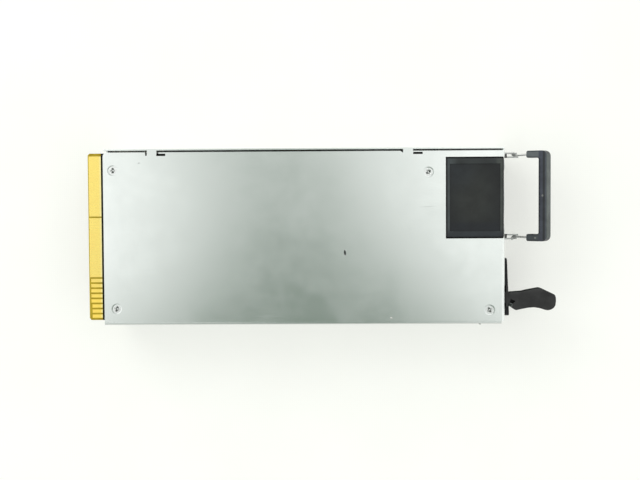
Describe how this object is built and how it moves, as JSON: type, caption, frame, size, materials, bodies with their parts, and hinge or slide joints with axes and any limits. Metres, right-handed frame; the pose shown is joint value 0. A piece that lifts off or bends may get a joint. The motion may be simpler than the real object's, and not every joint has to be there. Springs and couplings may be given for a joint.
{
  "type": "hot swap server power supply",
  "caption": "Flat plated-steel power module with a card edge at one end, and a flush fan, folding bail, release lever and mains inlet at the other.",
  "frame": {"origin": "centre of the flat outer face of the cover, which the module lies on", "axes": "+X from the card edge to the fan and handle end, +Y towards the fan side, +Z out of the chassis panel that carries the board screws"},
  "size_m": [0.2309, 0.0872, 0.04],
  "materials": {
    "plated_sheet": "zinc plated sheet, fine grain",
    "cover_sheet": "zinc plated sheet, fine grain",
    "grille_sheet": "zinc plated sheet",
    "inner_sheet": "zinc plated sheet",
    "screw_steel": "zinc plated",
    "black_screw": "black oxide",
    "nickel_steel": "nickel plated",
    "insulation_film": "black film",
    "board_mask": "dark solder mask",
    "gold_plate": "gold plated copper",
    "fan_plastic": "moulded, fine texture",
    "rotor_plastic": "moulded",
    "lead_insulation": "wire insulation",
    "white_plastic": "moulded",
    "foam": "closed cell foam",
    "guard_steel": "nickel plated stamping",
    "inlet_plastic": "moulded",
    "light_pipe": "clear acrylic",
    "led_body": "moulded",
    "ceramic_tube": "ceramic",
    "yellow_case": "moulded",
    "blue_disc": "dipped",
    "green_disc": "dipped",
    "ferrite": "sintered",
    "iron_powder": "coated powder core",
    "copper_wire": "enamelled copper",
    "copper_bar": "bare copper",
    "relay_case": "moulded",
    "chip_epoxy": "moulded epoxy",
    "aluminium_fin": "extruded",
    "capacitor_sleeve": "shrink sleeve",
    "aluminium_can": "drawn can",
    "yellow_tape": "polyester tape",
    "bobbin_plastic": "moulded",
    "green_board": "solder mask",
    "wire_steel": "drawn wire",
    "grip_plastic": "moulded, fine texture",
    "lever_plastic": "moulded, fine texture"
  },
  "bodies": {
    "chassis": {"chassis_base": "plated_sheet", "chassis_cover": "cover_sheet", "front_grille": "grille_sheet", "panel_screws": "screw_steel", "cover_screws": "screw_steel", "insulation_sheet": "insulation_film", "main_board": "board_mask", "power_pads": "gold_plate", "signal_pads": "gold_plate", "board_standoffs": "nickel_steel", "board_screws": "screw_steel", "fan_frame": "fan_plastic", "fan_bearings": "nickel_steel", "fan_stator": "copper_wire", "fan_leads": "lead_insulation", "fan_plug": "white_plastic", "fan_bracket": "inner_sheet", "fan_gasket": "foam", "finger_guard": "guard_steel", "guard_screws": "black_screw", "fan_side_baffle": "insulation_film", "ac_inlet_housing": "inlet_plastic", "ac_inlet_pins": "nickel_steel", "inlet_leads": "copper_bar", "status_light_pipe": "light_pipe", "status_led": "led_body", "latch_pivot_pin": "nickel_steel", "fuse": "ceramic_tube", "fuse_clips": "nickel_steel", "x_capacitors": "yellow_case", "y_capacitors": "blue_disc", "filter_choke_core": "ferrite", "filter_choke_windings": "copper_wire", "inrush_thermistor": "green_disc", "inrush_relay": "relay_case", "bridge_rectifier": "chip_epoxy", "bridge_heatsink": "aluminium_fin", "bulk_capacitors": "capacitor_sleeve", "pfc_choke_core": "iron_powder", "pfc_choke_winding": "copper_wire", "power_transistors": "chip_epoxy", "primary_heatsink": "aluminium_fin", "transformer_core": "ferrite", "transformer_winding": "yellow_tape", "transformer_base": "bobbin_plastic", "resonant_inductor": "ferrite", "standby_transformer": "yellow_tape", "rectifier_heatsink": "aluminium_fin", "oring_transistors": "chip_epoxy", "output_capacitors": "aluminium_can", "output_busbars": "copper_bar", "control_board": "green_board", "control_chips": "chip_epoxy"},
    "fan_rotor": {"fan_impeller": "rotor_plastic", "fan_shaft": "nickel_steel", "fan_magnet": "ferrite"},
    "bail": {"bail_wire": "wire_steel", "bail_grip": "grip_plastic"},
    "latch": {"release_lever": "lever_plastic", "latch_return_spring": "wire_steel"}
  },
  "joints": [
    {"name": "fan_spin", "type": "hinge", "parent": "chassis", "child": "fan_rotor", "pos_m": [0.083, 0.01865, 0.02], "axis": [1, 0, 0], "continuous": true},
    {"name": "bail_swing", "type": "hinge", "parent": "chassis", "child": "bail", "pos_m": [0.105, 0.0192, 0.02], "axis": [0, -1, 0], "range_deg": [-125, 55]},
    {"name": "latch_swing", "type": "hinge", "parent": "chassis", "child": "latch", "pos_m": [0.0431, -0.0402, 0.0363], "axis": [0, 0, 1], "range_deg": [0, 2.6], "stiffness_Nm_per_rad": 1, "springref_deg": -11.46}
  ]
}
